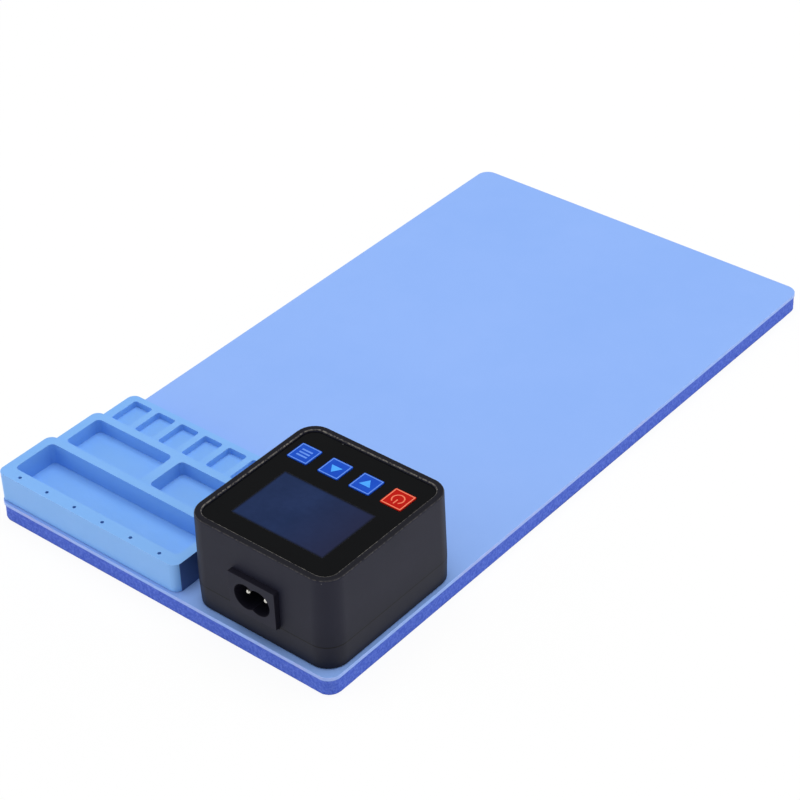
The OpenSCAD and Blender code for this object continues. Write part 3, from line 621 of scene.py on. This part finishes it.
mat = {
    "cornerRadius": 5.5 * mm,
    "cornerSegments": 12,
    "sheetEdge": 0.25 * mm,
    "foamEdge": 0.5 * mm,
    "foamPitch": 2.0 * mm,    # spacing of the foam side's points
    "foamLayers": 6,
    "foamWave": 0.28 * mm,    # depth of the cut's slow waves
    "foamCell": 0.10 * mm,    # depth of single cells
    "waveScales": (45, 120),
    "cellScale": 700,
    "smoothAngle": 50,
}


def slabOf(node):
    # a slab of a CAD node's size with round corners
    low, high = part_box(node)
    bm = bmesh.new()
    bmesh.ops.create_cube(bm, size=1)
    bmesh.ops.scale(bm, verts=bm.verts, vec=high - low)
    bmesh.ops.translate(bm, verts=bm.verts, vec=(low + high) / 2)
    upright = [e for e in bm.edges if abs(e.verts[0].co.z - e.verts[1].co.z) > (high.z - low.z) / 2]
    bevelEdges(bm, upright, mat["cornerRadius"], mat["cornerSegments"])
    return bm, low, high


def outerEdges(bm, level):
    return [e for e in bm.edges if all(abs(v.co.z - level) < 1e-6 for v in e.verts)]


def cutSides(bm, low, high, pitch, layers):
    # rows of points along the sides, with the large faces left whole
    def sides():
        faces = [f for f in bm.faces if abs(f.normal.z) < 0.9]
        return faces + list({e for f in faces for e in f.edges}) + list({v for f in faces for v in f.verts})

    for axis, count in ((0, int((high.x - low.x) / pitch)), (1, int((high.y - low.y) / pitch)), (2, layers)):
        normal = Vector([1.0 if i == axis else 0.0 for i in range(3)])
        for step in range(1, count):
            place = low.lerp(high, step / count)
            bmesh.ops.bisect_plane(bm, geom=sides(), dist=1e-7, plane_co=place, plane_no=normal)


def waveSides(bm, wave, cell):
    # pushes the side's points in and out, and keeps the large faces flat
    large, small = mat["waveScales"]
    bm.normal_update()
    for vert in bm.verts:
        outward = Vector((vert.normal.x, vert.normal.y, 0))
        if outward.length < 0.3:
            continue
        slow = noise.noise(vert.co * large) + 0.5 * noise.noise(vert.co * small)
        fine = noise.noise(vert.co * mat["cellScale"])
        vert.co += outward.normalized() * (slow * wave + fine * cell - wave)


def makeFoam():
    bm, low, high = slabOf("foam_base")
    bevelEdges(bm, outerEdges(bm, low.z), mat["foamEdge"], 3)
    cutSides(bm, low, high, mat["foamPitch"], mat["foamLayers"])
    waveSides(bm, mat["foamWave"], mat["foamCell"])
    bmesh.ops.recalc_face_normals(bm, faces=bm.faces)
    piece = linkMesh(bm, "foam_pad")
    smoothPiece(piece, mat["smoothAngle"])
    finishPiece(piece, "mat", materials["foam"], "foam", "foam_base")


def makeSheet(node, name, topEdge):
    bm, low, high = slabOf(node)
    if topEdge:
        bevelEdges(bm, outerEdges(bm, high.z), mat["sheetEdge"], 3)
    # the sides get the painted highlight
    mark = bm.faces.layers.float.new("edge")
    for face in bm.faces:
        face[mark] = 1.0 if abs(face.normal.z) < 0.9 else 0.0
    piece = linkMesh(bm, name)
    smoothPiece(piece, mat["smoothAngle"])
    finishPiece(piece, "mat", materials["silicone_sheet"], "silicone_sheet", node)


makeFoam()
makeSheet("lower_sheet", "under_sheet", False)
makeSheet("top_sheet", "work_sheet", True)
print("mat made")


def dressNode(node, name, bevels, smoothAngle=35, isEdge=None, reshape=None, edgeShare=1.0):
    # a copy of a CAD node's mesh with its sharp edges rounded
    # each bevel has its least angle, width, segments, where it goes, and the edge mark of its faces, which sets
    # how much painted edge light they get
    # isEdge picks more faces, which get the mark edgeShare, and reshape moves points before the bevels
    bm = bmesh.new()
    bm.from_mesh(nodes[node].data)
    bmesh.ops.remove_doubles(bm, verts=bm.verts, dist=2e-6)
    bmesh.ops.dissolve_limit(bm, angle_limit=math.radians(0.6), verts=bm.verts, edges=bm.edges)
    if reshape:
        reshape(bm)
        bm.normal_update()
    mark = bm.faces.layers.float.new("edge")
    for leastAngle, width, segments, where, markShare in bevels:
        edges = [e for e in bm.edges if len(e.link_faces) == 2
                 and e.calc_face_angle() > math.radians(leastAngle)
                 and where((e.verts[0].co + e.verts[1].co) / 2)]
        for face in bevelEdges(bm, edges, width, segments):
            face[mark] = markShare
    if isEdge:
        bm.normal_update()
        for face in bm.faces:
            if isEdge(face):
                face[mark] = max(face[mark], edgeShare)
    piece = linkMesh(bm, name)
    return smoothPiece(piece, smoothAngle)


def everywhere(point):
    return True


tray = {
    "edge": 0.5 * mm,
    "backRim": 5.8 * mm,
    "rimMargin": 1.2 * mm,    # the rim's own edges lie nearer to its sides than this
    "sideShade": 0.92,
    "sideDepth": 0.2 * mm,
}


def makeTray():
    low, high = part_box("parts_tray")

    def notHole(point):
        # the rim holes keep their sharp edges
        margin = tray["rimMargin"]
        onRim = high.y - tray["backRim"] + margin < point.y < high.y - margin
        return not onRim or min(point.x - low.x, high.x - point.x) < margin

    # the rounded edges get the painted highlight
    piece = dressNode("parts_tray", "tray", [(40, tray["edge"], 3, notHole, 1.0)])
    shade = piece.data.attributes.new("shade", "FLOAT", "FACE")
    for face in piece.data.polygons:
        # the side beside the control box lies in its shade
        if face.normal.x < -0.9 and face.center.x < low.x + tray["sideDepth"]:
            shade.data[face.index].value = tray["sideShade"]
    finishPiece(piece, "mat", materials["silicone_tray"], "silicone_tray", "parts_tray")


box = {
    "cadRadius": 8 * mm,
    "middle": (-50.0 * mm, 116.9 * mm),
    "half": (34.2 * mm, 35.7 * mm),
    "radius": 9 * mm,
    "kept": 20 * mm,          # so far from its middle a wall keeps its points, round the inlet
    # profiles of the outside in mm: the CAD height and inset, then the new height and insets in x and y
    "lower": [((8.7, 1.3), (8.7, 0.6, 0.6)), ((9.1, 0.85), (8.85, 0.4, 0.4)), ((9.7, 0.7), (9.0, 0.3, 0.3)),
              ((18.9, 0.0), (18.9, 0.0, 0.0))],
    "upper": [((18.9, 0.0), (18.9, 0.0, 0.0)), ((48.9, 1.3), (48.3, 0.1, 0.9)),
              ((49.8, 1.46), (48.75, 0.25, 1.05)), ((50.5, 1.78), (49.02, 0.52, 1.32)),
              ((50.9, 2.1), (49.1, 0.9, 1.7)), ((50.9, 2.5), (49.1, 3.0, 3.8)),
              ((47.0, 2.5), (47.0, 3.0, 3.8))],
    "panel": [((47.0, 2.65), (47.0, 3.15, 3.95)), ((48.2, 2.65), (48.2, 3.15, 3.95))],
    "nearProfile": 0.2,       # a point this many mm off the profile stays where it is
    "smallestTurn": 0.5 * mm, # least radius of a corner
    "levelSlack": 0.1 * mm,   # a point this near to a level counts as on it
    "innerRim": 2.3 * mm,     # the rim's inner edge lies deeper in than this
    "outerSkin": 0.5 * mm,    # the parting line's outer edge lies less deep than this
    "rimRounding": 0.5 * mm,  # height of the rounding of the rim's outer edge
    # share of the painted highlight on the rim's outer rounding
    "roundingHighlight": 0.3,
    "shellEdge": 0.08 * mm,
    "partEdge": 0.2 * mm,
    "rimLine": 0.4 * mm,      # rounding of the rim's inner edge, which carries a painted highlight
    "panelEdge": 0.15 * mm,
    "paneEdge": 0.05 * mm,
    "paneMargin": 0.4 * mm,   # how far round the window its points are moved with it
    "flangeEdge": 0.25 * mm,
    "flangeFront": 0.6 * mm,  # depth of the inlet's lit front
    "keyEdge": 0.12 * mm,
}


def insetOf(point, middle, half, radius):
    # how far a point lies inside a rectangle with round corners
    beyond = [max(abs(point[i] - middle[i]) - half[i] + radius, 0) for i in (0, 1)]
    return radius - math.hypot(*beyond)


def onProfile(rows, height, inset):
    # the row of new values for a point on the CAD profile, or None for one that is off it
    for (start, newStart), (end, newEnd) in zip(rows, rows[1:]):
        run = (end[0] - start[0], end[1] - start[1])
        share = ((height - start[0]) * run[0] + (inset - start[1]) * run[1]) / (run[0] ** 2 + run[1] ** 2)
        share = min(max(share, 0), 1)
        miss = math.hypot(start[0] + share * run[0] - height, start[1] + share * run[1] - inset)
        if miss < box["nearProfile"]:
            return [first + share * (last - first) for first, last in zip(newStart, newEnd)]
    return None


def reshapeSides(rows):
    # moves the points of the box's outside onto its wider outline and lower, flat rim
    low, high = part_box("upper_shell")
    middle = (low + high) / 2
    half = (high - low) / 2
    radius = box["cadRadius"]

    def reshape(bm):
        for vert in bm.verts:
            row = onProfile(rows, vert.co.z / mm, insetOf(vert.co, middle, half, radius) / mm)
            if row is None:
                continue
            insets = (row[1] * mm, row[2] * mm)
            turn = max(box["radius"] - sum(insets) / 2, box["smallestTurn"])
            away = [vert.co[i] - middle[i] for i in (0, 1)]
            beyond = Vector([max(abs(away[i]) - half[i] + radius, 0) for i in (0, 1)]).normalized()
            for i in (0, 1):
                side = math.copysign(1, away[i])
                core = half[i] - radius
                share = (min(abs(away[i]), core) - box["kept"]) / (core - box["kept"])
                start = middle[i] + side * box["kept"]
                end = box["middle"][i] + side * (box["half"][i] - insets[i] - turn)
                along = start + share * (end - start) if share > 0 else vert.co[i]
                vert.co[i] = along + side * beyond[i] * turn
            vert.co.z = row[0] * mm
    return reshape


def reshapeWindow(bm):
    # the display window and the panel's opening for it, at the size and place seen from outside
    low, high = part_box("display_window")
    middle = (low + high) / 2
    half = (high - low) / 2
    margin = box["paneMargin"]
    for vert in bm.verts:
        away = vert.co - middle
        if abs(away.x) < half.x + margin and abs(away.y) < half.y + margin:
            for i in (0, 1):
                vert.co[i] = windowLook["middle"][i] + away[i] * windowLook["half"][i] / half[i]


def reshapePanel(bm):
    reshapeSides(box["panel"])(bm)
    reshapeWindow(bm)


def makeShells():
    partLevel = box["upper"][0][1][0] * mm
    rimLevel = max(new[0] for _, new in box["upper"]) * mm

    def depthOf(point):
        return insetOf(point, box["middle"], box["half"], box["radius"])

    def atRim(point):
        # the edge where the flat rim meets the recess round the panel
        return point.z > rimLevel - box["levelSlack"] and depthOf(point) > box["innerRim"]

    def atParting(point):
        return abs(point.z - partLevel) < box["levelSlack"] and depthOf(point) < box["outerSkin"]

    def offParting(point):
        return not atParting(point)

    def isRounding(face):
        # the rounding of the rim's outer edge, which gets a fainter painted highlight too
        centre = face.calc_center_median()
        return (0.3 < face.normal.z < 0.97 and centre.z > rimLevel - box["rimRounding"]
                and depthOf(centre) < box["innerRim"])

    # the upper shell gets its rim line only: its other edges leave a bevel no room
    atFoot = [(60, box["shellEdge"], 2, offParting, 0.0), (60, box["partEdge"], 1, atParting, 0.0)]
    # the rim line's bevel faces get the painted highlight
    atTop = [(60, box["rimLine"], 3, atRim, 1.0)]
    for node, name, rows, bevels in (("lower_shell", "bottom_shell", box["lower"], atFoot),
                                     ("upper_shell", "top_shell", box["upper"], atTop)):
        piece = dressNode(node, name, bevels, 40, isRounding, reshapeSides(rows), box["roundingHighlight"])
        finishPiece(piece, "mat", materials["box_plastic"], "box_plastic", node)


def makePanel():
    # the bevel's faces get the painted highlight
    bevels = [(50, box["panelEdge"], 3, everywhere, 1.0)]
    piece = dressNode("front_panel", "panel", bevels, reshape=reshapePanel)
    finishPiece(piece, "mat", materials["panel_plastic"], "panel_plastic", "front_panel")
    bevels = [(50, box["paneEdge"], 2, everywhere, 1.0)]
    piece = dressNode("display_window", "window_pane", bevels, reshape=reshapeWindow)
    finishPiece(piece, "mat", materials["window"], "window", "display_window")


def makeInlet():
    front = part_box("inlet_housing")[1].y - box["flangeFront"]

    def inShade(face):
        # every face of the inlet but its front, which gets painted shade
        return face.normal.y < 0.7 or face.calc_center_median().y < front

    # the bevels' faces get the painted shade too
    bevels = [(50, box["flangeEdge"], 3, everywhere, 1.0)]
    piece = dressNode("inlet_housing", "inlet", bevels, isEdge=inShade)
    finishPiece(piece, "mat", materials["inlet_plastic"], "box_plastic", "inlet_housing")


makeTray()
makeShells()
makePanel()
makeInlet()
print("tray and box made")


keys = {
    "side": 9.6 * mm,
    "border": 0.42 * mm,      # width of the printed border
    "borderInset": 0.3 * mm,
    "print": 0.03 * mm,       # thickness of the print
    "arrow": 3.1 * mm,        # from the middle of an arrow to its corners
    "arrowShape": (0.95, 0.8, 1),
    "bar": (5.0 * mm, 0.8 * mm),
    "barPitch": 1.7 * mm,
    "ring": 2.4 * mm,
    "stroke": 0.5 * mm,
    "ringGap": 70,            # opening of the power symbol's ring, in degrees
    "ringSteps": 40,
    "stem": (1.1, 0.65),      # length of the symbol's stroke and place of its middle, in radii of the ring
}


def thicken(bm, faces, height):
    made = bmesh.ops.extrude_face_region(bm, geom=faces)["geom"]
    bmesh.ops.translate(bm, verts=[g for g in made if isinstance(g, bmesh.types.BMVert)], vec=(0, 0, height))
    bmesh.ops.recalc_face_normals(bm, faces=bm.faces)


def plate(width, depth, centre, height):
    bm = bmesh.new()
    bmesh.ops.create_cube(bm, size=1)
    bmesh.ops.scale(bm, verts=bm.verts, vec=(width, depth, height))
    bmesh.ops.translate(bm, verts=bm.verts, vec=(centre[0], centre[1], height / 2))
    return bm


def borderMesh(side):
    bm = bmesh.new()
    bmesh.ops.create_grid(bm, x_segments=1, y_segments=1, size=side / 2 - keys["borderInset"])
    inner = list(bm.faces)
    bmesh.ops.inset_region(bm, faces=inner, thickness=keys["border"], use_boundary=True, use_even_offset=True)
    bmesh.ops.delete(bm, geom=inner, context="FACES")
    thicken(bm, list(bm.faces), keys["print"])
    return bm


def arrowMesh(turn):
    bm = bmesh.new()
    bmesh.ops.create_circle(bm, cap_ends=True, segments=3, radius=keys["arrow"])
    bmesh.ops.scale(bm, verts=bm.verts, vec=keys["arrowShape"])
    bmesh.ops.rotate(bm, verts=bm.verts, matrix=Matrix.Rotation(math.radians(turn), 3, "Z"))
    thicken(bm, list(bm.faces), keys["print"])
    return bm


def barsMesh():
    whole = bmesh.new()
    for step in (-1, 0, 1):
        bm = plate(*keys["bar"], (0, step * keys["barPitch"]), keys["print"])
        joinInto(whole, bm)
    return whole


def powerMesh():
    whole = bmesh.new()
    section = [whole.verts.new((0, keys["ring"] + side * keys["stroke"] / 2, level))
               for side, level in ((-1, 0), (1, 0), (1, keys["print"]), (-1, keys["print"]))]
    face = whole.faces.new(section)
    half = math.radians(keys["ringGap"] / 2)
    bmesh.ops.rotate(whole, verts=whole.verts, matrix=Matrix.Rotation(half, 3, "Z"))
    bmesh.ops.spin(whole, geom=[face, *face.edges, *face.verts], axis=(0, 0, 1), cent=(0, 0, 0),
                   angle=2 * math.pi - 2 * half, steps=keys["ringSteps"], use_duplicate=False)
    bmesh.ops.recalc_face_normals(whole, faces=whole.faces)
    length, centre = (share * keys["ring"] for share in keys["stem"])
    joinInto(whole, plate(keys["stroke"], length, (0, centre), keys["print"]))
    return whole


def joinInto(whole, part):
    mesh = bpy.data.meshes.new("part")
    part.to_mesh(mesh)
    part.free()
    whole.from_mesh(mesh)
    bpy.data.meshes.remove(mesh)


def makeKey(label, material, borderMaterial, iconMaterial, icon):
    node = label + "_key"
    body = label + "_button"
    # the cap's bevel faces get the painted highlight
    cap = dressNode(node, label + "_cap", [(50, box["keyEdge"], 3, everywhere, 1.0)])
    finishPiece(cap, body, materials[material], material, node)
    low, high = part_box(node)
    middle = (low + high) / 2
    border = borderMesh(keys["side"])
    for part, bm, finish in (("border", border, borderMaterial), ("icon", icon, iconMaterial)):
        bmesh.ops.translate(bm, verts=bm.verts, vec=(middle.x, middle.y, high.z))
        finishPiece(linkMesh(bm, label + "_" + part), body, materials[finish], material)


makeKey("mode", "blue_key", "blue_print", "blue_print", barsMesh())
makeKey("down", "blue_key", "blue_print", "blue_icon", arrowMesh(0))
makeKey("up", "blue_key", "blue_print", "blue_icon", arrowMesh(180))
makeKey("power", "red_key", "red_print", "red_print", powerMesh())
print("keys made")


finishes = {
    "heating_foil": "foil", "temperature_sensor": "black_plastic", "heater_leads": "red_insulation",
    "tray_adhesive": "adhesive", "box_adhesive": "adhesive", "shell_screws": "steel",
    "lcd_cell": "lcd_glass", "lcd_frame": "white_plastic", "display_board": "circuit_board",
    "display_board_screws": "steel", "tact_switches": "black_plastic",
    "mode_plunger": "black_plastic", "down_plunger": "black_plastic", "up_plunger": "black_plastic",
    "power_plunger": "black_plastic", "inlet_pins": "nickel", "inlet_wires": "brown_insulation",
    "power_board": "power_circuit_board", "power_board_screws": "steel", "transformer": "transformer",
    "relay": "relay_blue", "capacitor": "black_plastic", "fuse": "fuse_glass", "fuse_clips": "nickel",
    "thermal_cutout": "white_plastic", "ribbon_cable": "ribbon",
}
for node, finish in finishes.items():
    nodes[node].data.materials.clear()
    nodes[node].data.materials.append(materials[finish])
print("inner pieces finished")
